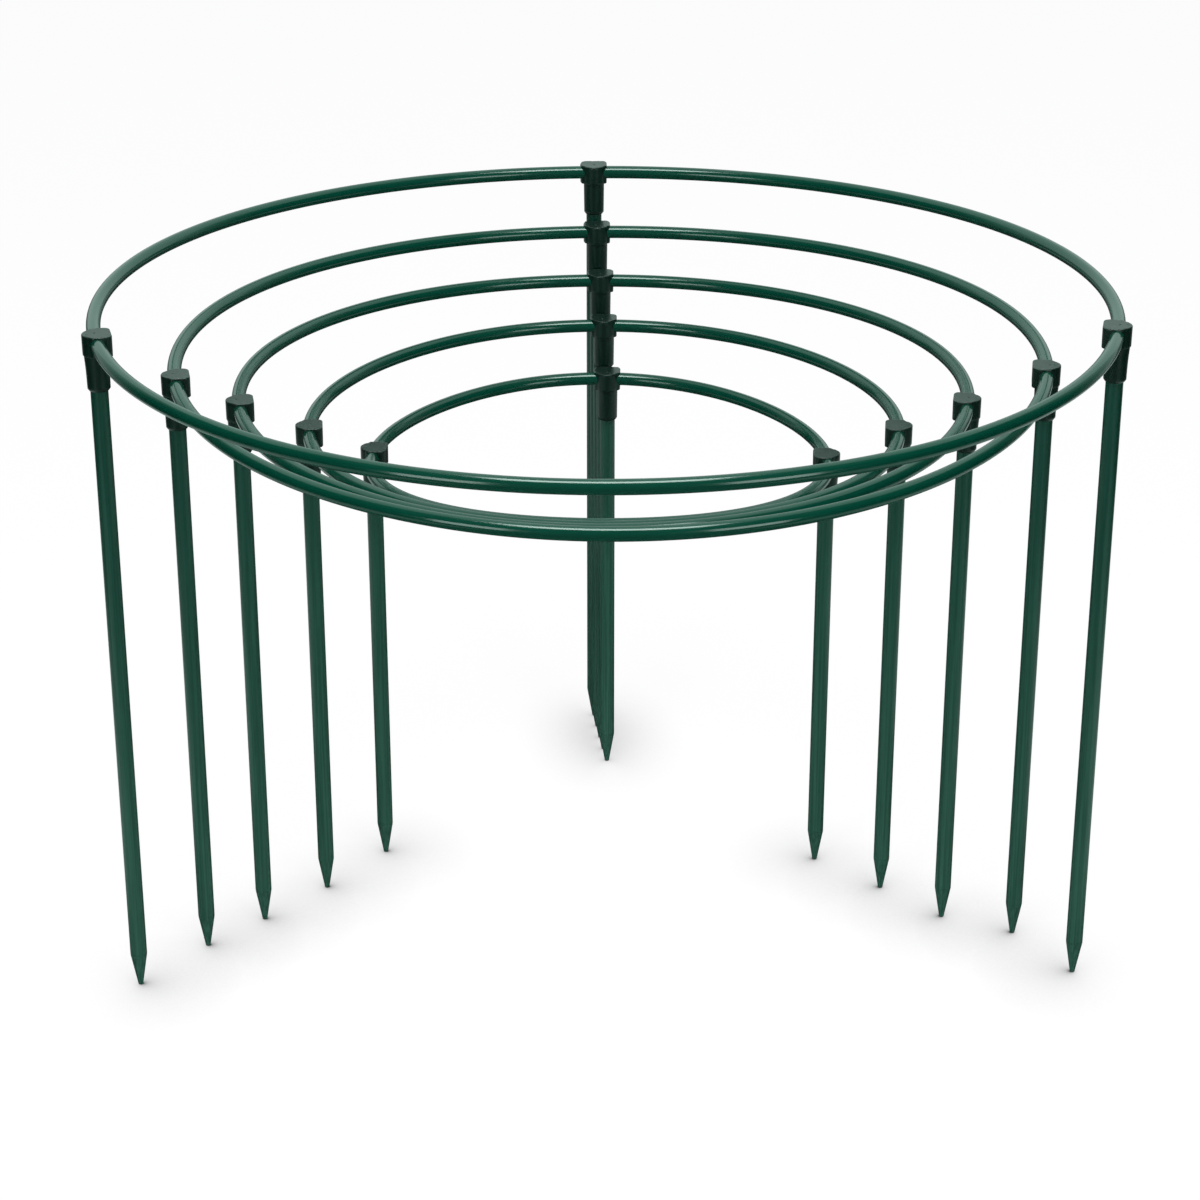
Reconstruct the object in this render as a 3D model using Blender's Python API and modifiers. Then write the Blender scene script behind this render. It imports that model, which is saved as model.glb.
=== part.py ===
"""Nested set of five round plant supports.

Each support is a horizontal hoop carried on three pointed stakes, one at the back and one at each
side, with the front left open. A moulded cap joins each stake to the hoop. Metres, +Z up, +Y towards
the back stakes, with the stake tips standing on Z = 0.
"""

from math import asin, cos, pi, radians, sin

import bmesh
import bpy
from mathutils import Matrix

SET_NAME = "plant_support_set"

# Hoops, from the largest support to the smallest. They are springy, so none stands quite level.
HOOP_HEIGHTS = (0.4500, 0.4050, 0.3755, 0.3450, 0.3125)    # mean height of the tube axis
HOOP_LEANS = (-0.0090, -0.0010, -0.0035, -0.0045, -0.0085)  # rise of the back, and drop of the front
HOOP_WARPS = (-0.0015, -0.0035, -0.0020, 0.0020, 0.0050)  # rise of front and back, and drop of the sides
HOOP_SHIFTS = (0.0, 0.0030, -0.0015, -0.0010, -0.0040)     # each hoop's middle, to the right
HOOP_RADIUS = 0.320      # largest hoop, to the axis of its tube
HOOP_STEP = 0.0415       # each hoop's radius is this much less than the last
HOOP_TUBE = 0.009        # outside diameter of the hoop tube
HOOP_SEGMENTS = 72       # round the largest hoop
HOOP_SEGMENT_STEP = 6    # fewer on each smaller hoop
HOOP_SIDES = 8

# Stations round each hoop
SIDE_ANGLES = (103.0, 99.0, 99.0, 95.0, 87.5)  # side stakes, degrees from the back stake
BACK_PITCH = 0.0192      # the back stakes stand in a row, this far apart
BACK_START = -0.0080     # the first of them stands this far to the right
BACK_DRIFT = 0.0024      # and each stands this much further to the right

# Stakes: a coated tube closed by a moulded point
STAKE_TUBE = 0.011
STAKE_WALL = 0.001
POINT_LENGTH = 0.024
POINT_END = 0.0034       # diameter just above the blunt end
POINT_FLAT = 0.0026      # diameter of the flat that meets the ground
POINT_ROUND = 0.0007     # height of the rounded edge of that flat
SPIGOT_LENGTH = 0.016    # the part of the point that sits inside the tube
ROUND_SIDES = 12

# Caps, measured from the crossing of the hoop axis and the stake axis
HEAD_WIDTH = 0.0188      # along the hoop
HEAD_ROUND = 0.0088      # reach of the head's rounded end
HEAD_FLAT = 0.0095       # reach of its flat end
HEAD_TOP = 0.0059
HEAD_BOTTOM = -0.0076
HEAD_ROUND_RADIUS = 0.0078  # corners of the rounded end
HEAD_FLAT_RADIUS = 0.0032   # corners of the flat end
HEAD_EDGE = 0.0007
SLEEVE_TOP_DIAMETER = 0.0148
SLEEVE_END_DIAMETER = 0.0143
SLEEVE_LIP_DIAMETER = 0.0127
SLEEVE_LIP_HEIGHT = 0.0012
SLEEVE_BOTTOM = -0.0305
FAIRING_TOP_DIAMETER = 0.0130  # leaning cone below the head's rounded end
FAIRING_END_DIAMETER = 0.0124
FAIRING_LEAN = 0.0015
WEB = 0.0011             # solid floor between the hoop passage and the stake socket
FIT = 0.0003             # clearance wherever two pieces meet

SIDES = ("left", "back", "right")


def clear_scene():
    for item in list(bpy.data.objects):
        bpy.data.objects.remove(item, do_unlink=True)


def new_collection(name):
    collection = bpy.data.collections.new(name)
    bpy.context.scene.collection.children.link(collection)
    return collection


def new_material(name, colour, roughness):
    material = bpy.data.materials.new(name)
    material.use_nodes = True
    shader = material.node_tree.nodes["Principled BSDF"]
    shader.inputs["Base Color"].default_value = (*colour, 1.0)
    shader.inputs["Roughness"].default_value = roughness
    shader.inputs["Metallic"].default_value = 0.0
    material.diffuse_color = (*colour, 1.0)
    return material


def add_object(name, mesh, collection, parent=None):
    item = bpy.data.objects.new(name, mesh)
    collection.objects.link(item)
    item.parent = parent
    return item


def mark_cutter(item):
    item.hide_render = True
    item.display_type = "WIRE"


def boolean(item, operation, other):
    modifier = item.modifiers.new(operation.title(), "BOOLEAN")
    modifier.operation = operation
    modifier.solver = "EXACT"
    modifier.object = other


def turned(name, profile, collection, closed=False):
    """Turn a profile of (radius, height) points about Z; it runs down the outer side."""
    mesh = bpy.data.meshes.new(name)
    edges = [(i, i + 1) for i in range(len(profile) - 1)]
    if closed:
        edges.append((len(profile) - 1, 0))
    mesh.from_pydata([(radius, 0.0, height) for radius, height in profile], edges, [])
    item = add_object(name, mesh, collection)
    screw = item.modifiers.new("Screw", "SCREW")
    screw.axis = "Z"
    screw.steps = ROUND_SIDES
    screw.render_steps = ROUND_SIDES
    screw.use_merge_vertices = True
    screw.merge_threshold = 0.00001
    screw.use_smooth_shade = True
    return item


def baked_mesh(item, name):
    """The evaluated mesh of an object, which is then removed."""
    graph = bpy.context.evaluated_depsgraph_get()
    mesh = bpy.data.meshes.new_from_object(item.evaluated_get(graph))
    mesh.name = name
    bpy.data.objects.remove(item, do_unlink=True)
    return mesh


def head_mesh():
    """Block round the hoop, with wide round corners at its +Y end and tighter ones at the other end.

    It is the hull of those four rounds, drawn at the lower edge, below the rim and, a little smaller,
    at the top.
    """
    half = HEAD_WIDTH / 2
    rounds = []
    for sign in (-1, 1):
        rounds.append((sign * (half - HEAD_ROUND_RADIUS), HEAD_ROUND - HEAD_ROUND_RADIUS, HEAD_ROUND_RADIUS))
        rounds.append((sign * (half - HEAD_FLAT_RADIUS), HEAD_FLAT_RADIUS - HEAD_FLAT, HEAD_FLAT_RADIUS))
    levels = ((HEAD_BOTTOM, 0.0), (HEAD_TOP - HEAD_EDGE, 0.0), (HEAD_TOP, HEAD_EDGE))

    shape = bmesh.new()
    for height, inset in levels:
        for x, y, radius in rounds:
            for step in range(ROUND_SIDES):
                angle = 2 * pi * step / ROUND_SIDES
                reach = radius - inset
                shape.verts.new((x + reach * cos(angle), y + reach * sin(angle), height))
    bmesh.ops.convex_hull(shape, input=shape.verts)
    inside = [vert for vert in shape.verts if not vert.link_faces]
    bmesh.ops.delete(shape, geom=inside, context="VERTS")
    bmesh.ops.dissolve_limit(shape, angle_limit=radians(1.0), verts=shape.verts, edges=shape.edges)
    mesh = bpy.data.meshes.new("cap_head")
    shape.to_mesh(mesh)
    shape.free()
    return mesh


def fairing_mesh():
    """Leaning cone that carries the head's rounded end down into the sleeve."""
    shape = bmesh.new()
    bottom = SLEEVE_BOTTOM + SLEEVE_LIP_HEIGHT
    bmesh.ops.create_cone(shape, cap_ends=True, segments=ROUND_SIDES, radius1=FAIRING_END_DIAMETER / 2,
                          radius2=FAIRING_TOP_DIAMETER / 2, depth=-bottom)
    bmesh.ops.translate(shape, vec=(0.0, 0.0, bottom / 2), verts=shape.verts)
    upper = [vert for vert in shape.verts if vert.co.z > bottom / 2]
    bmesh.ops.translate(shape, vec=(0.0, FAIRING_LEAN, 0.0), verts=upper)
    mesh = bpy.data.meshes.new("cap_fairing")
    shape.to_mesh(mesh)
    shape.free()
    return mesh


def cap_blank(cutters):
    """Cap before the hoop passage is cut: a head on a tapered sleeve with a blind socket."""
    passage_floor = -(HOOP_TUBE / 2 + FIT)
    socket_top = passage_floor - WEB
    socket_radius = STAKE_TUBE / 2 + FIT
    sleeve = turned("sleeve", [(0.0, 0.0), (SLEEVE_TOP_DIAMETER / 2, 0.0),
                               (SLEEVE_TOP_DIAMETER / 2, HEAD_BOTTOM),
                               (SLEEVE_END_DIAMETER / 2, SLEEVE_BOTTOM + SLEEVE_LIP_HEIGHT),
                               (SLEEVE_LIP_DIAMETER / 2, SLEEVE_BOTTOM), (0.0, SLEEVE_BOTTOM)], cutters)
    socket = turned("socket", [(0.0, socket_top), (socket_radius, socket_top),
                               (socket_radius, 2 * SLEEVE_BOTTOM), (0.0, 2 * SLEEVE_BOTTOM)], cutters)
    fairing = add_object("fairing", fairing_mesh(), cutters)
    head = add_object("head", head_mesh(), cutters)
    boolean(head, "UNION", sleeve)
    boolean(head, "UNION", fairing)
    boolean(head, "DIFFERENCE", socket)
    mesh = baked_mesh(head, "cap_blank")
    for spent in (sleeve, fairing, socket):
        bpy.data.objects.remove(spent, do_unlink=True)
    return mesh, socket_top


def hoop_rise(index, cosine):
    """Height of a hoop's axis above its mean, from the cosine of the angle away from its back."""
    return HOOP_LEANS[index] * cosine + HOOP_WARPS[index] * (2 * cosine ** 2 - 1)


def hoop_mesh(name, index, radius, tube_radius):
    segments = HOOP_SEGMENTS - index * HOOP_SEGMENT_STEP
    bpy.ops.mesh.primitive_torus_add(major_radius=radius, minor_radius=tube_radius,
                                     major_segments=segments, minor_segments=HOOP_SIDES)
    item = bpy.context.object
    mesh = item.data
    mesh.name = name
    for vert in mesh.vertices:
        vert.co.z += hoop_rise(index, vert.co.y / vert.co.xy.length)
    mesh.shade_smooth()
    bpy.data.objects.remove(item, do_unlink=True)
    return mesh


def stake_profile(length):
    """Tube wall, from the stop inside the cap down to the shoulder of the point."""
    outer = STAKE_TUBE / 2
    inner = outer - STAKE_WALL
    return [(outer, 0.0), (outer, -length), (inner, -length), (inner, 0.0)]


def point_profile():
    """Moulded point: a spigot that fills the tube's end, a shoulder, and a blunt cone."""
    spigot = STAKE_TUBE / 2 - STAKE_WALL - FIT
    top = POINT_LENGTH + SPIGOT_LENGTH
    return [(0.0, top), (spigot, top), (spigot, POINT_LENGTH), (STAKE_TUBE / 2, POINT_LENGTH),
            (POINT_END / 2, POINT_ROUND), (POINT_FLAT / 2, 0.0), (0.0, 0.0)]


def build_support(index, blank, socket_top, materials, parts, cutters):
    """One hoop with its three caps, stakes and points, under an empty at the hoop's middle."""
    number = index + 1
    radius = HOOP_RADIUS - index * HOOP_STEP
    height = HOOP_HEIGHTS[index]
    shift = HOOP_SHIFTS[index]
    turn = asin((BACK_START + index * BACK_DRIFT - shift) / radius)
    # The largest hoop and its back cap are centred front to back, so the set stands about its origin.
    row_start = HOOP_RADIUS - (HEAD_FLAT - HOOP_TUBE / 2) / 2
    back_row = row_start - index * BACK_PITCH

    frame = add_object(f"support_{number}_frame", None, parts)
    frame.location = (shift, back_row - radius * cos(turn), height)
    frame.rotation_euler.z = -turn

    tube = HOOP_TUBE / 2
    hoop = add_object(f"hoop_{number}", hoop_mesh(f"hoop_{number}", index, radius, tube), parts, frame)
    hoop.data.materials.append(materials["hoop"])
    passage_mesh = hoop_mesh(f"hoop_passage_{number}", index, radius, tube + FIT)
    passage = add_object(f"hoop_passage_{number}", passage_mesh, cutters, frame)
    mark_cutter(passage)

    stake_top = socket_top - FIT
    for side, sign in zip(SIDES, (-1, 0, 1)):
        angle = sign * radians(SIDE_ANGLES[index])
        rise = hoop_rise(index, cos(angle))
        station = Matrix.Translation((radius * sin(angle), radius * cos(angle), rise))
        station @= Matrix.Rotation(-angle, 4, "Z")

        cap = add_object(f"cap_{number}_{side}", blank.copy(), parts, frame)
        cap.data.materials.clear()
        cap.data.materials.append(materials["cap"])
        # The rounded end faces out at the sides, and in towards the hoop's middle at the back.
        cap.matrix_local = station if sign else station @ Matrix.Rotation(pi, 4, "Z")
        boolean(cap, "DIFFERENCE", passage)

        length = height + rise + stake_top - POINT_LENGTH - FIT
        stake = turned(f"stake_{number}_{side}", stake_profile(length), parts, closed=True)
        stake.data.materials.append(materials["stake"])
        stake.parent = frame
        stake.matrix_local = station @ Matrix.Translation((0.0, 0.0, stake_top))

        point = turned(f"point_{number}_{side}", point_profile(), parts)
        point.data.materials.append(materials["point"])
        point.parent = stake
        point.matrix_local = Matrix.Translation((0.0, 0.0, -height - rise - stake_top))


def main():
    clear_scene()
    parts = new_collection(SET_NAME)
    cutters = new_collection(SET_NAME + "_cutters")
    materials = {
        "hoop": new_material("hoop_green_gloss", (0.010, 0.085, 0.050), 0.22),
        "stake": new_material("stake_green_satin", (0.012, 0.066, 0.043), 0.38),
        "point": new_material("point_green_satin", (0.012, 0.062, 0.041), 0.42),
        "cap": new_material("cap_black_moulding", (0.012, 0.018, 0.017), 0.50),
    }
    blank, socket_top = cap_blank(cutters)
    for index in range(len(HOOP_HEIGHTS)):
        build_support(index, blank, socket_top, materials, parts, cutters)
    bpy.data.meshes.remove(blank)
    bpy.context.view_layer.update()


main()
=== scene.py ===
"""Looks of a nested set of five round plant supports.

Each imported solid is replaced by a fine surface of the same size: ring skins for the hoops, turned skins for
the stakes and their points, and moulded caps with the hoop's passage cut through. Metres, in the part's own
frame.
"""

from math import pi, radians

import bpy
import numpy as np
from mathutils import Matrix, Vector


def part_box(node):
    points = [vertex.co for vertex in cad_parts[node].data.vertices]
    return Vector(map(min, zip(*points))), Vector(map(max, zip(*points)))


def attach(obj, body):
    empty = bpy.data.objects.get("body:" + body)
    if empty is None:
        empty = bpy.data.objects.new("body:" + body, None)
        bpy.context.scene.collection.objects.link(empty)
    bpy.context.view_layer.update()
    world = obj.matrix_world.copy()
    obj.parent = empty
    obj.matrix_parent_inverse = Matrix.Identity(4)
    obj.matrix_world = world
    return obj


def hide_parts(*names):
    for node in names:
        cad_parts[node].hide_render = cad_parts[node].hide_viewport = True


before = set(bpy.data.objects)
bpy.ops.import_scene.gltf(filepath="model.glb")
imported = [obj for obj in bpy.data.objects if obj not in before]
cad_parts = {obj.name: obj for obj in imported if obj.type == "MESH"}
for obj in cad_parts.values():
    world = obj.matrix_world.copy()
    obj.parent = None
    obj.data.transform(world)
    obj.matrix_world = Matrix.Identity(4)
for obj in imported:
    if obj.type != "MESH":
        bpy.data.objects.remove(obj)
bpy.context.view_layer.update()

NUMBERS = range(1, 6)  # 1 is the largest support
SIDES = ("left", "back", "right")
FULL_TURN = 2 * pi
QUARTER_TURN = pi / 2

# Hoops, from the largest to the smallest. They are springy, so none stands quite level.
HOOP_HEIGHTS = (0.4500, 0.4050, 0.3755, 0.3450, 0.3125)     # mean height of the tube axis
HOOP_LEANS = (-0.0090, -0.0010, -0.0035, -0.0045, -0.0085)  # rise of the back, and drop of the front
HOOP_WARPS = (-0.0015, -0.0035, -0.0020, 0.0020, 0.0050)    # rise of front and back, and drop of the sides
HOOP_TUBE_RADIUS = 0.0045
HOOP_STEPS = 480  # round the hoop
TUBE_STEPS = 64   # round its tube

# Stakes and points
STAKE_RADIUS = 0.0055
STAKE_WALL = 0.001
STAKE_EDGE = STAKE_WALL / 4  # bevel of the tube's ends
STAKE_STEPS = 48
STAKE_SHARP = 30          # an edge that bends more than this many degrees stays sharp
SEAM = 0.0001             # hairline between stake and point
POINT_LENGTH = 0.024
POINT_END_RADIUS = 0.0017
POINT_NOSE = 0.0007       # height of the rounded end
POINT_FLAT_RADIUS = 0.0011
POINT_SHARP = 40
SHOULDER_BLEND = 0.0009   # softening where the cone leaves the stake
SHOULDER_STEPS = 9
NOSE_STEPS = 7

# Caps, measured from the crossing of the hoop axis and the stake axis
HEAD_HALF_WIDTH = 0.0094
HEAD_ROUND = 0.0088       # reach of the head's rounded end
HEAD_FLAT = 0.0095        # reach of its flat end
NOSE_RADIUS = 0.0079      # the rounded end is a round nose
EAR_REACH = 0.0042        # an ear stands each side of it, this far towards it
EAR_RADIUS = 0.0028       # corners of the ears
FLAT_RADIUS = 0.0040      # corners of the flat end
HEAD_CREASE = 0.0007      # softening where the nose meets the ears
HEAD_TOP = 0.0059
HEAD_BOTTOM = -0.0076
HEAD_EDGE = 0.0007
HEAD_LOWER_EDGE = 0.0003
HEAD_DRAFT = 0.0001       # the head narrows this much towards its lower edge
NECK_STEP = 0.0003        # a ledge under the head stands out this far, and the sleeve starts as far below
LEDGE_MARGIN = 0.00002    # the ledge stays this far inside the head's lower edge
SLEEVE_TOP_RADIUS = 0.0074
SLEEVE_END_RADIUS = 0.00715
SLEEVE_LIP_RADIUS = 0.00635
SLEEVE_LIP_HEIGHT = 0.0012
SLEEVE_BOTTOM = -0.0305
SLEEVE_CREASE = 0.0004    # softening where the fairing meets the sleeve
FAIRING_TOP_RADIUS = 0.0065
FAIRING_END_RADIUS = 0.0062
FAIRING_LEAN = 0.0015
SOCKET_RADIUS = 0.0058
SOCKET_TOP = -0.0059
PASSAGE_GAP = 0.0003
PASSAGE_STEPS = 24
CAP_STEPS = 144
CAP_ANGLES = np.arange(CAP_STEPS) * FULL_TURN / CAP_STEPS
CAP_SHARP = 38
TOP_FIRST_RING = 0.04     # the top's first ring is this share of the way out
TOP_RINGS = 30
EDGE_RINGS = 6
SIDE_RINGS = 7
LOWER_EDGE_RINGS = 4
SLEEVE_RINGS = 18
LIP_RINGS = 5
OUTLINE_FACINGS = 2000    # directions from which the head's block is found
OUTLINE_POINTS = 4000     # even points along it

# Moulding marks, rubbing and a painted sheen on the caps' tops. The marks differ a little from cap to cap.
MARK_HEIGHT = 0.0002      # the marks stand this high, and no higher than the head's top
MARK_SHIFT = 0.0007       # how far they wander
DIMPLE_PLACE = (0.0004, 0.0012)
DIMPLE_RADIUS = 0.00055
DIMPLE_DEPTH = 0.0006
CRESCENT_PLACE = (-0.0016, 0.0054)
CRESCENT_RADIUS = 0.0012
CRESCENT_WIDTH = 0.00030
SINK_RADIUS = 0.005
SINK_DEPTH = 0.00006
RAGGED_RIM = 0.00006
RAGGED_POWER = 8          # how quickly the raggedness dies away from the rim
RAGGED_WAVES = ((5, 0.5), (11, 0.7), (19, 0.5), (31, 0.4))  # waves in a turn, and their weights
SIDE_SEED = 0.37          # sets the marks of a support's three caps apart
WORN_RIM_WIDTH = 0.0006
TOP_SHEEN = 0.5            # painted sheen over the whole top; the rubbed rim counts 1
TOP_SHEEN_DEPTH = 0.0004   # the painted sheen starts this far below the top
TOP_SHEEN_RISE = 0.0003    # and is full after this much
WORN_LIP = 0.6
WORN_LIP_WIDTH = 0.0005

# Finishes: pairs of colours, features of a noise in a metre, stretches along a bar, and heights of relief
HOOP_GREENS = ((0.0006, 0.038, 0.022, 1.0), (0.0022, 0.074, 0.044, 1.0))
HOOP_LINES = 1400.0
HOOP_LINE_STRETCH = (1.0, 1.0, 0.02)
HOOP_PATCHES = 22.0
HOOP_WAVES = 90.0
HOOP_WAVE_STRETCH = (1.0, 1.0, 0.25)
HOOP_RELIEF = 0.00001
STAKE_GREENS = ((0.0015, 0.036, 0.022, 1.0), (0.0050, 0.072, 0.046, 1.0))
STAKE_PALE_END = (0.0400, 0.142, 0.098, 1.0)
STAKE_LINES = 900.0
STAKE_LINE_STRETCH = (1.0, 1.0, 0.012)
STAKE_LINE_LEVELS = (0.34, 0.66)
STAKE_PATCHES = 38.0
STAKE_PATCH_STRETCH = (1.0, 1.0, 0.4)
STAKE_GRAIN = 2600.0
STAKE_RELIEF = 0.00003
PALE_END_HEIGHTS = (-0.05, 0.42)  # from fully pale to plain green
CAP_BLACKS = ((0.0012, 0.0120, 0.0080, 1.0), (0.0032, 0.0215, 0.0150, 1.0))
# pale colour of rubbed rims and lips, and of the painted sheen on the tops
CAP_WEAR_AND_SHEEN = (0.046, 0.056, 0.053, 1.0)
CAP_GRAIN = 2200.0
CAP_CLOUDS = 260.0
CAP_SCUFFS = 700.0
CAP_SCUFF_LEVELS = (0.56, 0.70)
CAP_RELIEF = 0.00004
GLOSS_TINT = (0.80, 1.0, 0.93, 1.0)  # what the gloss mirrors has a slight green cast

# Lights
LIGHT_TARGET = (0.0, 0.0, 0.3)
TOP_LIGHT_PLACE = (0.0, -0.40, 2.45)
TOP_LIGHT_SIZE = (1.1, 0.9)
TOP_LIGHT_RADIANCE = 13.0
FRONT_LIGHT_PLACE = (0.85, -1.40, 0.62)  # of the right one, which the left one mirrors
FRONT_LIGHT_SIZE = (0.5, 0.7)
FRONT_LIGHT_RADIANCE = 5.2
ROOM_FILL = 0.08          # even light from all round

# Floor and backdrop. Their gloss values are what reflections see of them.
FLOOR_HALF = 10.0
FLOOR_FRONT = -0.9
FLOOR_WHITE = 0.945       # the lamps add the rest
FLOOR_FRONT_FADE = (-0.85, -0.45)  # towards its edges it turns pure white, so that none of them shows
FLOOR_BACK_FADE = (2.6, 4.6)
FLOOR_SIDE_FADE = (4.0, 9.0)
FLOOR_DIM = 0.08          # its own colour
FLOOR_BOUNCE = 0.80       # and its colour to bounced light
CONTACT_REACH = 0.065     # how far from a tip its contact shadow goes
CONTACT_SAMPLES = 16
CONTACT_DEPTH = 1.7
CONTACT_TILT = 2.0        # outward tilt of the sky the painted contact shadow is reckoned under, a metre from the middle
BACK_SHADOW_CUT = 0.45          # share of the painted contact shadow taken off at the back row
BACK_ROW = (0.12, 0.24)   # depths over which that share is taken off
LANE_GLOSS = 0.65         # a lane each side is bright to the gloss
LANE_INNER = (0.36, 0.50)
LANE_OUTER = (0.70, 1.0)
LANE_FADE = 0.55          # share of the lanes that is lost further back
LANE_FADE_DEPTHS = (1.15, 1.35)
FAR_GLOSS = 0.12          # the far floor is a little bright to it too
FAR_DEPTHS = (1.3, 1.5)
BACKDROP_DISTANCE = 5.0
BACKDROP_TOP = 4.0
BACKDROP_BOUNCE = 0.15
BACKDROP_GLOSS = 0.7      # at the floor, rising to 1
BACKDROP_GLOSS_HEIGHT = 1.6

# Sheets that only reflections see: a pale one overhead and a dim one each side
CEILING_FRONT = -0.2
CEILING_RISE = 1.0        # depth over which it comes up to its glow
CEILING_GLOW = 1.2
FLAG_PLACE = 1.15
FLAG_FRONT = -1.5
FLAG_BACK = 0.95
FLAG_TOP = 1.5
FLAG_GLOW = 0.6           # at its back end
FLAG_GLOW_START = 0.15

# Camera
CAMERA_PLACE = (-0.0036, -1.8933, 1.1078)
CAMERA_DOWN = radians(24.534)
CAMERA_LENS = 94.76
CAMERA_SENSOR = 36.0
CAMERA_NEAR = 0.05
CAMERA_FAR = 60.0


class Wire:
    """One socket of a node tree. Arithmetic on wires adds Math nodes, and node() adds any other node."""

    def __init__(self, tree, socket=None):
        self.tree = tree
        self.socket = socket

    def node(self, kind, settings, sockets, out=0):
        """Add a node: first its settings, then a value or a link for each of the named inputs."""
        made = self.tree.nodes.new(kind)
        for name, value in settings.items():
            setattr(made, name, value)
        for name, value in sockets.items():
            if isinstance(value, Wire):
                self.tree.links.new(value.socket, made.inputs[name])
            else:
                made.inputs[name].default_value = value
        return Wire(self.tree, made.outputs[out])

    def math(self, operation, first, second=0.0):
        """Add a Math node. Either of its two values may be a wire."""
        return self.node("ShaderNodeMath", {"operation": operation}, {0: first, 1: second})

    def __add__(self, other):
        return self.math("ADD", self, other)

    __radd__ = __add__

    def __sub__(self, other):
        return self.math("SUBTRACT", self, other)

    def __rsub__(self, other):
        return self.math("SUBTRACT", other, self)

    def __mul__(self, other):
        return self.math("MULTIPLY", self, other)

    __rmul__ = __mul__

    def __abs__(self):
        return self.math("ABSOLUTE", self)

    def smooth(self, low, high):
        """0 below low and 1 above high, with a smooth rise between them."""
        settings = {"interpolation_type": "SMOOTHSTEP"}
        return self.node("ShaderNodeMapRange", settings, {"Value": self, "From Min": low, "From Max": high})

    def blend(self, first, second):
        """Mix two colours by this wire. Inputs 6 and 7 and output 2 are a Mix node's colour sockets."""
        return self.node("ShaderNodeMix", {"data_type": "RGBA"}, {0: self, 6: first, 7: second}, out=2)

    def stretched(self, scale):
        """Scale a vector wire along its axes."""
        return self.node("ShaderNodeVectorMath", {"operation": "MULTIPLY"}, {0: self, 1: scale})

    def along(self, axis):
        """One coordinate of a vector wire."""
        return self.node("ShaderNodeSeparateXYZ", {}, {"Vector": self}, out=axis)

    def noise(self, scale, detail=3.0, roughness=0.5):
        """Noise over this vector wire, about 0 to 1."""
        return self.node("ShaderNodeTexNoise", {},
                         {"Vector": self, "Scale": scale, "Detail": detail, "Roughness": roughness})

    def bump(self, height):
        """Normal bent by this wire, whose full range stands that high in metres."""
        return self.node("ShaderNodeBump", {}, {"Height": self, "Distance": height, "Strength": 1.0})


def grey(level):
    """A neutral colour."""
    return (level, level, level, 1.0)


def new_finish(name, **constants):
    """A material with a Principled shader whose constant inputs are set on its own sockets."""
    material = bpy.data.materials.new(name)
    material.use_nodes = True
    shader = material.node_tree.nodes["Principled BSDF"]
    for socket, value in constants.items():
        shader.inputs[socket.replace("_", " ")].default_value = value
    return material, Wire(material.node_tree), shader


def feed(shader, wires):
    """Link wires to the shader's inputs by name."""
    for socket, wire in wires.items():
        wire.tree.links.new(wire.socket, shader.inputs[socket])


def attribute(start, name, out):
    """A value that the mesh keeps for each of its points."""
    return start.node("ShaderNodeAttribute", {"attribute_name": name}, {}, out=out)


def object_place(start):
    """Place on the piece at rest, in the part's own frame."""
    return start.node("ShaderNodeTexCoord", {}, {}, out="Object")


def light_path(start, ray):
    """1 where a ray of that kind sees the surface, 0 elsewhere."""
    return start.node("ShaderNodeLightPath", {}, {}, out=f"Is {ray} Ray")


def hoop_finish():
    """Glossy bottle-green skin: faint drawn lines in its colour, slow waviness, small changes of gloss."""
    material, start, shader = new_finish("hoop_gloss_green", Specular_IOR_Level=0.5,
                                         Specular_Tint=GLOSS_TINT)
    bar = attribute(start, "bar_place", "Vector")
    drawn = bar.stretched(HOOP_LINE_STRETCH).noise(HOOP_LINES, detail=2.0)
    patches = bar.noise(HOOP_PATCHES, detail=2.0)
    waves = bar.stretched(HOOP_WAVE_STRETCH).noise(HOOP_WAVES, detail=1.0)
    shade = (0.35 + 0.3 * drawn + 0.35 * (patches - 0.5)).blend(*HOOP_GREENS)
    feed(shader, {"Base Color": shade, "Roughness": 0.11 + 0.07 * patches,
                  "Normal": waves.bump(HOOP_RELIEF)})
    return material


def stake_finish(name):
    """Satin dark-green coating with long drawn streaks and a fine grain, paler towards its lower end."""
    material, start, shader = new_finish(name, Specular_IOR_Level=0.45, Specular_Tint=GLOSS_TINT)
    place = object_place(start)
    drawn = place.stretched(STAKE_LINE_STRETCH).noise(STAKE_LINES)
    streaks = drawn.smooth(*STAKE_LINE_LEVELS)
    patches = place.stretched(STAKE_PATCH_STRETCH).noise(STAKE_PATCHES, detail=2.0)
    grain = place.noise(STAKE_GRAIN, detail=2.0)
    # paler green towards the lower end, strongest along the streaks
    paleness = 1 - place.along("Z").smooth(*PALE_END_HEIGHTS)
    plain_green = (0.2 + 0.45 * streaks + 0.3 * patches).blend(*STAKE_GREENS)
    shade = (paleness * (0.45 + 0.5 * streaks)).blend(plain_green, STAKE_PALE_END)
    relief = drawn + 0.25 * grain
    feed(shader, {"Base Color": shade, "Roughness": 0.24 + 0.10 * patches + 0.04 * grain,
                  "Normal": relief.bump(STAKE_RELIEF)})
    return material


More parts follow.
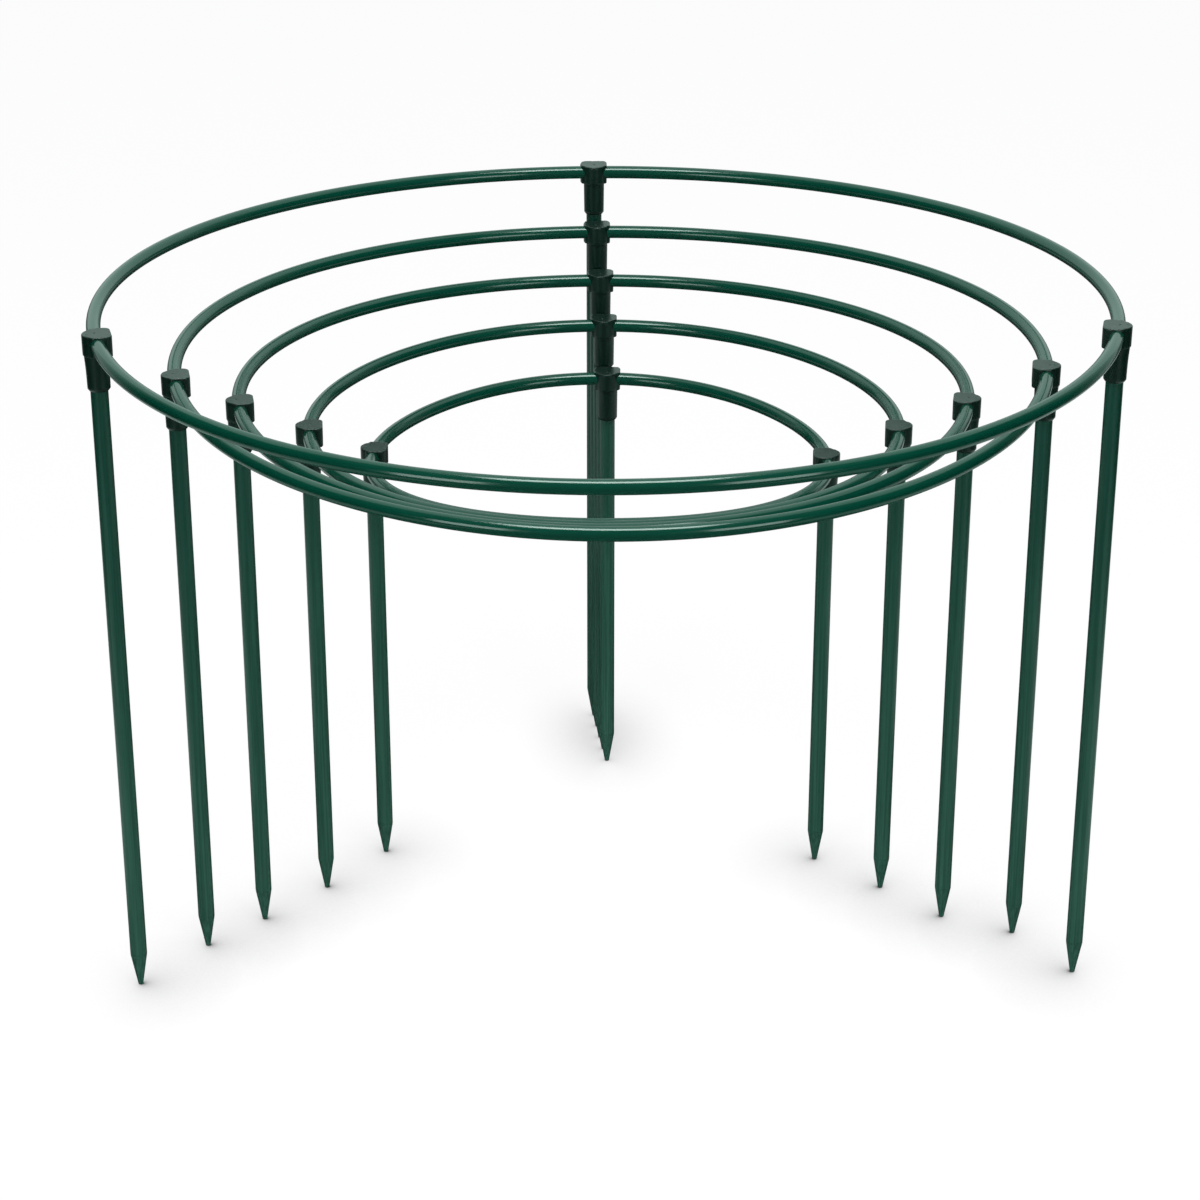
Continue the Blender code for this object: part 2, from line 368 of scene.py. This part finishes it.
def cap_finish():
    """Near-black moulding with a spark-eroded grain, rubbed rims and a painted sheen on its top, both broken
    up by scuffs.
    """
    material, start, shader = new_finish("cap_black", Specular_IOR_Level=0.4, Specular_Tint=GLOSS_TINT)
    place = object_place(start)
    grain = place.noise(CAP_GRAIN, roughness=0.6)
    cloud = place.noise(CAP_CLOUDS)
    scuff = place.noise(CAP_SCUFFS, detail=4.0, roughness=0.65).smooth(*CAP_SCUFF_LEVELS)
    moulded = (0.3 + 0.5 * cloud).blend(*CAP_BLACKS)
    # pale where rims and lip are rubbed, plus a painted sheen over the whole top
    shade = (attribute(start, "wear_and_top_sheen", "Fac") * (0.35 + 0.65 * scuff)).blend(moulded, CAP_WEAR_AND_SHEEN)
    feed(shader, {"Base Color": shade, "Roughness": 0.22 + 0.10 * cloud + 0.05 * grain,
                  "Normal": grain.bump(CAP_RELIEF)})
    return material


def add_object(name, data):
    """An object for a mesh, a lamp or a camera, at the origin and unturned."""
    item = bpy.data.objects.new(name, data)
    bpy.context.scene.collection.objects.link(item)
    return item


def add_mesh(name, points, faces):
    """A piece from an array of points and a list of faces."""
    mesh = bpy.data.meshes.new(name)
    mesh.from_pydata(points.reshape(-1, 3).tolist(), [], faces)
    return add_object(name, mesh)


def shade_round(mesh, sharp_angle):
    """Shade a mesh as round, apart from edges that bend more than an angle in degrees."""
    mesh.shade_smooth()
    mesh.set_sharp_from_angle(angle=radians(sharp_angle))


def store(mesh, name, kind, field, values):
    """Keep a value for each point of a mesh as an attribute."""
    layer = mesh.attributes.new(name, kind, "POINT")
    layer.data.foreach_set(field, values.astype(np.float32).ravel())


def mesh_points(mesh):
    """The points of a mesh as an array."""
    points = np.empty(len(mesh.vertices) * 3, np.float32)
    mesh.vertices.foreach_get("co", points)
    return points.reshape(-1, 3).astype(float)


def dress(piece, node, body, material):
    """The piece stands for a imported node, moves with its body and takes its finish."""
    piece.data.materials.clear()
    piece.data.materials.append(material)
    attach(piece, body)
    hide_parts(node)


def ring_faces(rows, columns, closed_rows):
    """Quads of a grid whose columns close into rings, and whose rows may close too, facing outwards."""
    row = np.arange(rows if closed_rows else rows - 1)[:, None]
    column = np.arange(columns)[None, :]
    below = (row + 1) % rows
    beside = (column + 1) % columns
    corners = (row * columns + column, below * columns + column, below * columns + beside,
               row * columns + beside)
    return np.stack(corners, axis=-1).reshape(-1, 4).tolist()


def loft(rows):
    """Points and faces of a closed skin through rings of points, from top to bottom, with a pole at each
    end."""
    count, columns = rows.shape[:2]
    first = count * columns
    points = np.vstack([rows.reshape(-1, 3), rows[0].mean(axis=0), rows[-1].mean(axis=0)])
    column = np.arange(columns)
    beside = (column + 1) % columns
    last = (count - 1) * columns
    top = np.stack([np.full(columns, first), column, beside], axis=-1).tolist()
    end = np.stack([np.full(columns, first + 1), last + beside, last + column], axis=-1).tolist()
    return points, ring_faces(count, columns, False) + top + end


def turned(radii, heights, centre, steps):
    """Rings of points about a vertical axis: one ring of the given radius at each height."""
    angle = np.arange(steps) * FULL_TURN / steps
    x = centre[0] + np.outer(radii, np.cos(angle))
    y = centre[1] + np.outer(radii, np.sin(angle))
    z = np.repeat(np.asarray(heights)[:, None], steps, axis=1)
    return np.stack([x, y, z], axis=-1)


def stake_axis(number, side):
    """Where a stake's axis stands, from the box of its point."""
    low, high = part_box(f"point_{number}_{side}")
    return np.array(((low.x + high.x) / 2, (low.y + high.y) / 2))


def hoop_plan(number):
    """Middle and radius of a hoop's axis seen from above, and the angle of its back, from packed boxes."""
    low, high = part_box(f"hoop_{number}")
    middle = np.array(((low.x + high.x) / 2, (low.y + high.y) / 2))
    radius = min(high.x - low.x, high.y - low.y) / 2 - HOOP_TUBE_RADIUS
    back = stake_axis(number, "back") - middle
    return middle, radius, np.arctan2(back[1], back[0])


def hoop_bar(number, tube, along):
    """Points of a round bar: a circle of the tube's radius carried round the hoop's axis. The axis is a
    circle seen from above and rises and falls by one wave (lean) and two waves (warp) in a turn. Also the
    same points unrolled to a straight bar, with the distance along it as Z."""
    middle, radius, back = hoop_plan(number)
    around = -np.arange(TUBE_STEPS) * FULL_TURN / TUBE_STEPS
    out = tube * np.cos(around)[None, :]
    up = tube * np.sin(around)[None, :]
    turn = along - back
    rise = HOOP_LEANS[number - 1] * np.cos(turn) + HOOP_WARPS[number - 1] * np.cos(2 * turn)
    reach = radius + out
    x = middle[0] + reach * np.cos(along)[:, None]
    y = middle[1] + reach * np.sin(along)[:, None]
    z = HOOP_HEIGHTS[number - 1] + rise[:, None] + up
    unrolled = np.broadcast_arrays(out, up, (turn * radius)[:, None])
    return np.stack([x, y, z], axis=-1), np.stack(unrolled, axis=-1)


def make_hoop(number, material):
    """A ring skin whose seam lies inside the back cap. Each hoop takes its own stretch of the finish."""
    back = hoop_plan(number)[2]
    along = back + np.arange(HOOP_STEPS) * FULL_TURN / HOOP_STEPS
    points, unrolled = hoop_bar(number, HOOP_TUBE_RADIUS, along)
    piece = add_mesh(f"hoop_{number}_skin", points, ring_faces(HOOP_STEPS, TUBE_STEPS, True))
    unrolled[..., 2] += number * FULL_TURN
    store(piece.data, "bar_place", "FLOAT_VECTOR", "vector", unrolled)
    piece.data.shade_smooth()
    dress(piece, f"hoop_{number}", f"ring_{number}", material)


def make_stake(number, side, material):
    """A tube with small bevels on its edges, from the stop in the cap down to the point: eight rings, out
    over the top, down the outside and in under the bottom, closed up the inside."""
    node = f"stake_{number}_{side}"
    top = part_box(node)[1].z
    bottom = POINT_LENGTH + SEAM
    inner = STAKE_RADIUS - STAKE_WALL
    fine_edge = STAKE_EDGE / 4
    radii = [inner, inner + STAKE_EDGE, STAKE_RADIUS - STAKE_EDGE, STAKE_RADIUS, STAKE_RADIUS,
             STAKE_RADIUS - fine_edge, inner + STAKE_EDGE, inner]
    heights = [top - STAKE_EDGE, top, top, top - STAKE_EDGE, bottom + fine_edge, bottom, bottom,
               bottom + STAKE_EDGE]
    rows = turned(radii, heights, stake_axis(number, side), STAKE_STEPS)
    piece = add_mesh(f"{node}_skin", rows, ring_faces(len(radii), STAKE_STEPS, True))
    shade_round(piece.data, STAKE_SHARP)
    dress(piece, node, f"leg_{number}_{side}", material)


def make_point(number, side, material):
    """A spigot, a shoulder, a cone that leaves the stake's width in a soft bend (a parabola) and a blunt
    end with a quarter-ellipse edge."""
    node = f"point_{number}_{side}"
    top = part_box(node)[1].z
    spigot = STAKE_RADIUS - STAKE_WALL - PASSAGE_GAP
    drop = np.linspace(0.0, 1.0, SHOULDER_STEPS)
    bend = POINT_LENGTH - 2 * SHOULDER_BLEND * drop
    slope = (STAKE_RADIUS - POINT_END_RADIUS) / (POINT_LENGTH - SHOULDER_BLEND - POINT_NOSE)
    bend_radii = STAKE_RADIUS - slope * SHOULDER_BLEND * drop ** 2
    nose = np.linspace(0.0, QUARTER_TURN, NOSE_STEPS)
    nose_radii = POINT_FLAT_RADIUS + (POINT_END_RADIUS - POINT_FLAT_RADIUS) * np.cos(nose)
    nose_heights = POINT_NOSE * (1 - np.sin(nose))
    radii = np.concatenate([[spigot - SEAM, spigot, spigot], bend_radii, nose_radii])
    heights = np.concatenate([[top, top - SEAM, POINT_LENGTH], bend, nose_heights])
    points, faces = loft(turned(radii, heights, stake_axis(number, side), STAKE_STEPS))
    piece = add_mesh(f"{node}_skin", points, faces)
    shade_round(piece.data, POINT_SHARP)
    dress(piece, node, f"leg_{number}_{side}", material)


def soft_greater(first, second, soft):
    """The greater of two lengths, with a soft bend of about that size where they are equal."""
    step = second - first
    return first + (step + np.sqrt(step ** 2 + soft ** 2)) / 2 - soft / 4


def round_reach(radius, offset):
    """Reach at each cap angle of a circle whose middle is offset towards the head's rounded end."""
    return offset * np.sin(CAP_ANGLES) + np.sqrt(radius ** 2 - (offset * np.cos(CAP_ANGLES)) ** 2)


def head_outline():
    """Reach of the head's outline at each cap angle: a block with round corners, which is the hull of four
    rounds, together with a round nose at its +Y end. Facing any way, the hull's edge is on the round that
    reaches furthest that way."""
    ear = HEAD_HALF_WIDTH - EAR_RADIUS
    flat = HEAD_HALF_WIDTH - FLAT_RADIUS
    ear_row = EAR_REACH - EAR_RADIUS
    flat_row = FLAT_RADIUS - HEAD_FLAT
    rounds = np.array(((ear, ear_row, EAR_RADIUS), (-ear, ear_row, EAR_RADIUS),
                       (-flat, flat_row, FLAT_RADIUS), (flat, flat_row, FLAT_RADIUS)))
    facing = np.linspace(0.0, FULL_TURN, OUTLINE_FACINGS)
    towards = np.stack([np.cos(facing), np.sin(facing)])
    outer = rounds[np.argmax(rounds[:, :2] @ towards + rounds[:, 2:], axis=0)]
    line = outer[:, :2] + outer[:, 2:] * towards.T
    length = np.concatenate([[0.0], np.cumsum(np.hypot(*np.diff(line, axis=0).T))])
    fine = np.linspace(0.0, length[-1], OUTLINE_POINTS)
    x = np.interp(fine, length, line[:, 0])
    y = np.interp(fine, length, line[:, 1])
    block = np.interp(CAP_ANGLES, np.arctan2(y, x), np.hypot(x, y), period=FULL_TURN)
    return soft_greater(block, round_reach(NOSE_RADIUS, HEAD_ROUND - NOSE_RADIUS), HEAD_CREASE)


def sleeve_outline(share):
    """Reach of the sleeve's outline, from its lower end (0) to the head (1): a round sleeve together with a
    round fairing that leans towards the head's rounded end."""
    round_sleeve = SLEEVE_END_RADIUS + (SLEEVE_TOP_RADIUS - SLEEVE_END_RADIUS) * share
    fairing = FAIRING_END_RADIUS + (FAIRING_TOP_RADIUS - FAIRING_END_RADIUS) * share
    return soft_greater(round_sleeve, round_reach(fairing, FAIRING_LEAN * share), SLEEVE_CREASE)


def shares(first, last, count):
    """Even steps from first to last, one for each ring of a band."""
    return np.linspace(first, last, count)[:, None]


def band(reach, height):
    """Rings of points from their reach and height, given for all, for each ring or for each angle too."""
    reach, height = np.broadcast_arrays(reach, height + np.zeros((1, CAP_STEPS)))
    return np.stack([reach * np.cos(CAP_ANGLES), reach * np.sin(CAP_ANGLES), height], axis=-1)


def head_rows(outline, ragged):
    """Rings of a cap's head: out over the top, round its edge, down the side and round the lower edge."""
    flat_top = HEAD_TOP - MARK_HEIGHT
    side_top = flat_top - HEAD_EDGE
    side_end = HEAD_BOTTOM + HEAD_LOWER_EDGE
    out = shares(TOP_FIRST_RING, 1.0, TOP_RINGS)
    over = shares(0.0, QUARTER_TURN, EDGE_RINGS)[1:]
    down = shares(0.0, 1.0, SIDE_RINGS)[1:]
    under = shares(0.0, QUARTER_TURN, LOWER_EDGE_RINGS)[1:]
    return [band(out * (outline - HEAD_EDGE), flat_top + ragged * out ** RAGGED_POWER),
            band(outline - HEAD_EDGE * (1 - np.sin(over)),
                 flat_top - HEAD_EDGE * (1 - np.cos(over)) + ragged * np.cos(over)),
            band(outline - HEAD_DRAFT * down, side_top + down * (side_end - side_top)),
            band(outline - HEAD_DRAFT - HEAD_LOWER_EDGE * (1 - np.cos(under)),
                 HEAD_BOTTOM + HEAD_LOWER_EDGE * (1 - np.sin(under)))]


def sleeve_rows(outline):
    """Rings of a cap's sleeve: a ledge under the head, down the taper, in over the lip, up the socket."""
    head_limit = outline - HEAD_DRAFT - HEAD_LOWER_EDGE - LEDGE_MARGIN
    ledge = np.minimum(sleeve_outline(1.0) + NECK_STEP, head_limit)
    lip_top = SLEEVE_BOTTOM + SLEEVE_LIP_HEIGHT
    down = shares(1.0, 0.0, SLEEVE_RINGS)
    lip = shares(0.0, 1.0, LIP_RINGS)[1:]
    socket = np.array((SLEEVE_BOTTOM, SLEEVE_BOTTOM / 2, SOCKET_TOP))[:, None]
    return [band(ledge, HEAD_BOTTOM),
            band(np.minimum(sleeve_outline(down), ledge),
                 lip_top + down * (HEAD_BOTTOM - NECK_STEP - lip_top)),
            band(sleeve_outline(0.0) + (SLEEVE_LIP_RADIUS - SLEEVE_END_RADIUS) * lip,
                 SLEEVE_BOTTOM + SLEEVE_LIP_HEIGHT * (1 - lip)),
            band(SOCKET_RADIUS, socket)]


def top_marks(points, seed):
    """Height of the moulding marks on a cap's top: a dimple near the middle, a crescent near the rounded
    end and a slight sink all over. Each is a bell curve over the distance from its middle or its line."""
    x, y = points[..., 0], points[..., 1]
    shift = MARK_SHIFT * np.array((np.sin(seed * 3.1), np.cos(seed * 2.3)))
    dimple = np.hypot(x - DIMPLE_PLACE[0] - shift[0], y - DIMPLE_PLACE[1] - shift[1])
    beside = x - CRESCENT_PLACE[0]
    beyond = y - CRESCENT_PLACE[1]
    crescent = np.hypot(beside - shift[1], beyond + shift[0])
    facing = 0.5 + 0.5 * np.sin(np.arctan2(beyond, beside) + seed)
    return (-DIMPLE_DEPTH * np.exp(-(dimple / DIMPLE_RADIUS) ** 2)
            + MARK_HEIGHT * facing * np.exp(-((crescent - CRESCENT_RADIUS) / CRESCENT_WIDTH) ** 2)
            - SINK_DEPTH * np.exp(-(np.hypot(x, y) / SINK_RADIUS) ** 2))


def cap_rows(seed):
    """Rings of a cap in its own frame, from the middle of its top to the end of its socket. The rim of the
    top is slightly ragged, by a sum of a few waves."""
    outline = head_outline()
    ripple = sum(weight * np.sin(waves * CAP_ANGLES + seed * waves) for waves, weight in RAGGED_WAVES)
    rows = np.concatenate(head_rows(outline, RAGGED_RIM * ripple) + sleeve_rows(outline))
    on_top = rows[..., 2] > HEAD_TOP - MARK_HEIGHT - HEAD_EDGE / 3
    rows[..., 2] += np.where(on_top, top_marks(rows, seed), 0.0)
    return rows


def cap_frame(number, side):
    """A cap's own frame seen from above: its stake's axis and the ways of its X and Y. Its rounded end
    looks away from the hoop's middle at the sides, and towards it at the back."""
    axis = stake_axis(number, side)
    station = axis - hoop_plan(number)[0]
    outward = station / np.hypot(*station)
    if side == "back":
        outward = -outward
    return axis, np.array((outward[1], -outward[0])), outward


def passage_bar(number, side):
    """A stretch of the hoop's bar that is thicker by the gap and goes past both sides of a cap."""
    middle, radius, _ = hoop_plan(number)
    station = stake_axis(number, side) - middle
    past = 2 * HEAD_HALF_WIDTH / radius
    along = np.arctan2(station[1], station[0]) + np.linspace(-past, past, PASSAGE_STEPS)
    return loft(hoop_bar(number, HOOP_TUBE_RADIUS + PASSAGE_GAP, along)[0])


def cut_away(name, blank, cutter):
    """A new piece: the blank without what the cutter takes from it. Neither of the two stays."""
    cut = blank.modifiers.new("Passage", "BOOLEAN")
    cut.operation = "DIFFERENCE"
    cut.solver = "EXACT"
    cut.object = cutter
    graph = bpy.context.evaluated_depsgraph_get()
    mesh = bpy.data.meshes.new_from_object(blank.evaluated_get(graph))
    bpy.data.objects.remove(blank, do_unlink=True)
    bpy.data.objects.remove(cutter, do_unlink=True)
    mesh.name = name
    return add_object(name, mesh)


def cap_wear_and_sheen(x, y, z):
    """How pale a cap is, from 0 to 1: rubbed most at the rim of its top and less at the sleeve's lip, with a
    weaker painted sheen over the whole top.
    """
    limit = np.interp(np.arctan2(y, x), CAP_ANGLES, head_outline(), period=FULL_TURN)
    rim = np.exp(-(np.hypot(np.hypot(x, y) - limit, z - HEAD_TOP) / WORN_RIM_WIDTH) ** 2)
    # painted sheen of the top face
    top = TOP_SHEEN * np.clip((z - HEAD_TOP + TOP_SHEEN_DEPTH) / TOP_SHEEN_RISE, 0.0, 1.0)
    lip = WORN_LIP * np.exp(-((z - SLEEVE_BOTTOM - SLEEVE_LIP_HEIGHT) / WORN_LIP_WIDTH) ** 2)
    return np.clip(rim + top + lip, 0.0, 1.0)


def make_cap(number, side, material):
    """A cap placed on its stake's axis, turned to the hoop, with the hoop's passage cut through it."""
    node = f"cap_{number}_{side}"
    axis, sideways, outward = cap_frame(number, side)
    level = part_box(node)[1].z - HEAD_TOP
    rows = cap_rows(number + SIDE_SEED * SIDES.index(side))
    placed = np.empty_like(rows)
    placed[..., :2] = axis + rows[..., :1] * sideways + rows[..., 1:2] * outward
    placed[..., 2] = rows[..., 2] + level
    blank = add_mesh(f"{node}_blank", *loft(placed))
    cutter = add_mesh(f"{node}_passage", *passage_bar(number, side))
    piece = cut_away(f"{node}_skin", blank, cutter)

    points = mesh_points(piece.data)
    flat = points[:, :2] - axis
    wear_and_sheen = cap_wear_and_sheen(flat @ sideways, flat @ outward, points[:, 2] - level)
    store(piece.data, "wear_and_top_sheen", "FLOAT", "value", wear_and_sheen)
    shade_round(piece.data, CAP_SHARP)
    dress(piece, node, f"ring_{number}", material)


def build_supports():
    """All five supports, each a hoop with a stake, a point and a cap at each of its three sides."""
    hoop_green = hoop_finish()
    stake_green = stake_finish("stake_satin_green")
    point_green = stake_finish("point_satin_green")
    cap_black = cap_finish()
    for number in NUMBERS:
        make_hoop(number, hoop_green)
        for side in SIDES:
            make_stake(number, side, stake_green)
            make_point(number, side, point_green)
            make_cap(number, side, cap_black)


def stage_sheet(name, corners, material):
    """A flat four-cornered sheet of the stage."""
    piece = add_mesh(name, np.array(corners, float), [(0, 1, 2, 3)])
    piece.data.materials.append(material)
    return piece


def mirrored_sheet(name, corners, glow_start, glow_end, strength):
    """A sheet that only reflections see, glowing more from one depth to another."""
    material, start, shader = new_finish(name, Base_Color=grey(0.0), Roughness=1.0, Specular_IOR_Level=0.0,
                                         Emission_Strength=strength)
    glow = object_place(start).along("Y").smooth(glow_start, glow_end)
    feed(shader, {"Emission Color": glow.blend(grey(0.0), GLOSS_TINT)})
    sheet = stage_sheet(name, corners, material)
    sheet.visible_camera = False
    sheet.visible_diffuse = False
    sheet.visible_shadow = False


def floor_finish():
    """White floor to the camera, with a painted contact shadow round each tip, as under wide soft light from
    above and from the outer sides. Gloss sees a bright lane each side and little elsewhere, and bounced
    light sees it pale."""
    material, start, shader = new_finish("floor_white", Roughness=1.0, Specular_IOR_Level=0.0,
                                         Emission_Strength=1.0)
    place = object_place(start)
    depth = place.along("Y")
    off_middle = abs(place.along("X"))
    outwards = start.node("ShaderNodeVectorMath", {"operation": "MULTIPLY_ADD"},
                          {0: place, 1: (CONTACT_TILT, 0.0, 0.0), 2: (0.0, 0.0, 1.0)})
    open_sky = start.node("ShaderNodeAmbientOcclusion", {"samples": CONTACT_SAMPLES},
                          {"Distance": CONTACT_REACH, "Normal": outwards}, out="AO")
    # painted contact shadow from ambient occlusion, made lighter at the back row
    contact = CONTACT_DEPTH * (1 - BACK_SHADOW_CUT * depth.smooth(*BACK_ROW)) * (1 - open_sky)
    inside = 1 - off_middle.smooth(*FLOOR_SIDE_FADE)
    near = depth.smooth(*FLOOR_FRONT_FADE) * (1 - depth.smooth(*FLOOR_BACK_FADE)) * inside
    white_with_painted_shadow = 1 - near * (1 - FLOOR_WHITE * (1 - contact))
    seen = (light_path(start, "Camera") * white_with_painted_shadow).blend(grey(0.0), grey(1.0))
    lane = LANE_GLOSS * off_middle.smooth(*LANE_INNER) * (1 - off_middle.smooth(*LANE_OUTER))
    mirrored = (lane * (1 - LANE_FADE * depth.smooth(*LANE_FADE_DEPTHS))
                + FAR_GLOSS * depth.smooth(*FAR_DEPTHS))
    bounce = light_path(start, "Diffuse")
    feed(shader, {"Base Color": bounce.blend(grey(FLOOR_DIM), grey(FLOOR_BOUNCE)),
                  "Emission Color": (light_path(start, "Glossy") * mirrored).blend(seen, GLOSS_TINT)})
    return material


def backdrop_finish():
    """White sheet behind the set. In reflections it dims towards the floor."""
    material = bpy.data.materials.new("backdrop_white")
    material.use_nodes = True
    tree = material.node_tree
    tree.nodes.remove(tree.nodes["Principled BSDF"])
    start = Wire(tree)
    rise = object_place(start).along("Z").smooth(0.0, BACKDROP_GLOSS_HEIGHT)
    mirrored = (BACKDROP_GLOSS + (1 - BACKDROP_GLOSS) * rise).blend(grey(0.0), GLOSS_TINT)
    unseen = light_path(start, "Diffuse").blend(mirrored, grey(BACKDROP_BOUNCE))
    white = light_path(start, "Camera").blend(unseen, grey(1.0))
    light = start.node("ShaderNodeEmission", {}, {"Color": white, "Strength": 1.0})
    tree.links.new(light.socket, tree.nodes["Material Output"].inputs["Surface"])
    return material


def build_world():
    """White to the camera, a dim even fill to everything else."""
    world = bpy.data.worlds.new("studio")
    world.use_nodes = True
    bpy.context.scene.world = world
    start = Wire(world.node_tree)
    fill = light_path(start, "Camera").blend(grey(ROOM_FILL), grey(1.0))
    world.node_tree.links.new(fill.socket, world.node_tree.nodes["Background"].inputs["Color"])


def add_softbox(name, place, size, radiance):
    """A rectangular soft light of a given brightness, aimed at the set and unseen by the camera."""
    lamp = bpy.data.lights.new(name, "AREA")
    lamp.shape = "RECTANGLE"
    lamp.size, lamp.size_y = size
    lamp.energy = radiance * pi * size[0] * size[1]
    light = add_object(name, lamp)
    light.location = place
    light.rotation_euler = (Vector(LIGHT_TARGET) - Vector(place)).to_track_quat("-Z", "Y").to_euler()
    light.visible_camera = False


def level_sheet(front, height):
    """Corners of a level sheet as wide as the floor, from a depth back to the backdrop."""
    return ((-FLOOR_HALF, front, height), (FLOOR_HALF, front, height),
            (FLOOR_HALF, BACKDROP_DISTANCE, height), (-FLOOR_HALF, BACKDROP_DISTANCE, height))


def build_stage():
    """Floor, backdrop, a pale ceiling, a top light, and a front light and a dim flag each side. The flags
    keep the outer flanks of the hoops dark."""
    stage_sheet("floor", level_sheet(FLOOR_FRONT, 0), floor_finish())
    stage_sheet("backdrop", ((-FLOOR_HALF, BACKDROP_DISTANCE, 0), (FLOOR_HALF, BACKDROP_DISTANCE, 0),
                             (FLOOR_HALF, BACKDROP_DISTANCE, BACKDROP_TOP),
                             (-FLOOR_HALF, BACKDROP_DISTANCE, BACKDROP_TOP)), backdrop_finish())
    mirrored_sheet("ceiling", level_sheet(CEILING_FRONT, BACKDROP_TOP), CEILING_FRONT,
                   CEILING_FRONT + CEILING_RISE, CEILING_GLOW)
    build_world()
    add_softbox("light_top", TOP_LIGHT_PLACE, TOP_LIGHT_SIZE, TOP_LIGHT_RADIANCE)
    for side, sign in (("left", -1), ("right", 1)):
        x, y, z = FRONT_LIGHT_PLACE
        add_softbox(f"light_front_{side}", (sign * x, y, z), FRONT_LIGHT_SIZE, FRONT_LIGHT_RADIANCE)
        x = sign * FLAG_PLACE
        corners = ((x, FLAG_FRONT, 0), (x, FLAG_BACK, 0),
                   (x, FLAG_BACK, FLAG_TOP), (x, FLAG_FRONT, FLAG_TOP))
        mirrored_sheet(f"flag_{side}", corners, FLAG_GLOW_START, FLAG_BACK, FLAG_GLOW)


def build_camera():
    """The photograph's camera, fitted to the caps, tips and hoops."""
    camera = bpy.data.cameras.new("camera")
    camera.lens = CAMERA_LENS
    camera.sensor_width = CAMERA_SENSOR
    camera.clip_start = CAMERA_NEAR
    camera.clip_end = CAMERA_FAR
    item = add_object("camera", camera)
    item.location = CAMERA_PLACE
    item.rotation_euler = (QUARTER_TURN - CAMERA_DOWN, 0.0, 0.0)
    bpy.context.scene.camera = item
    bpy.context.scene.view_settings.view_transform = "Standard"


build_supports()
build_stage()
build_camera()

bpy.context.view_layer.update()
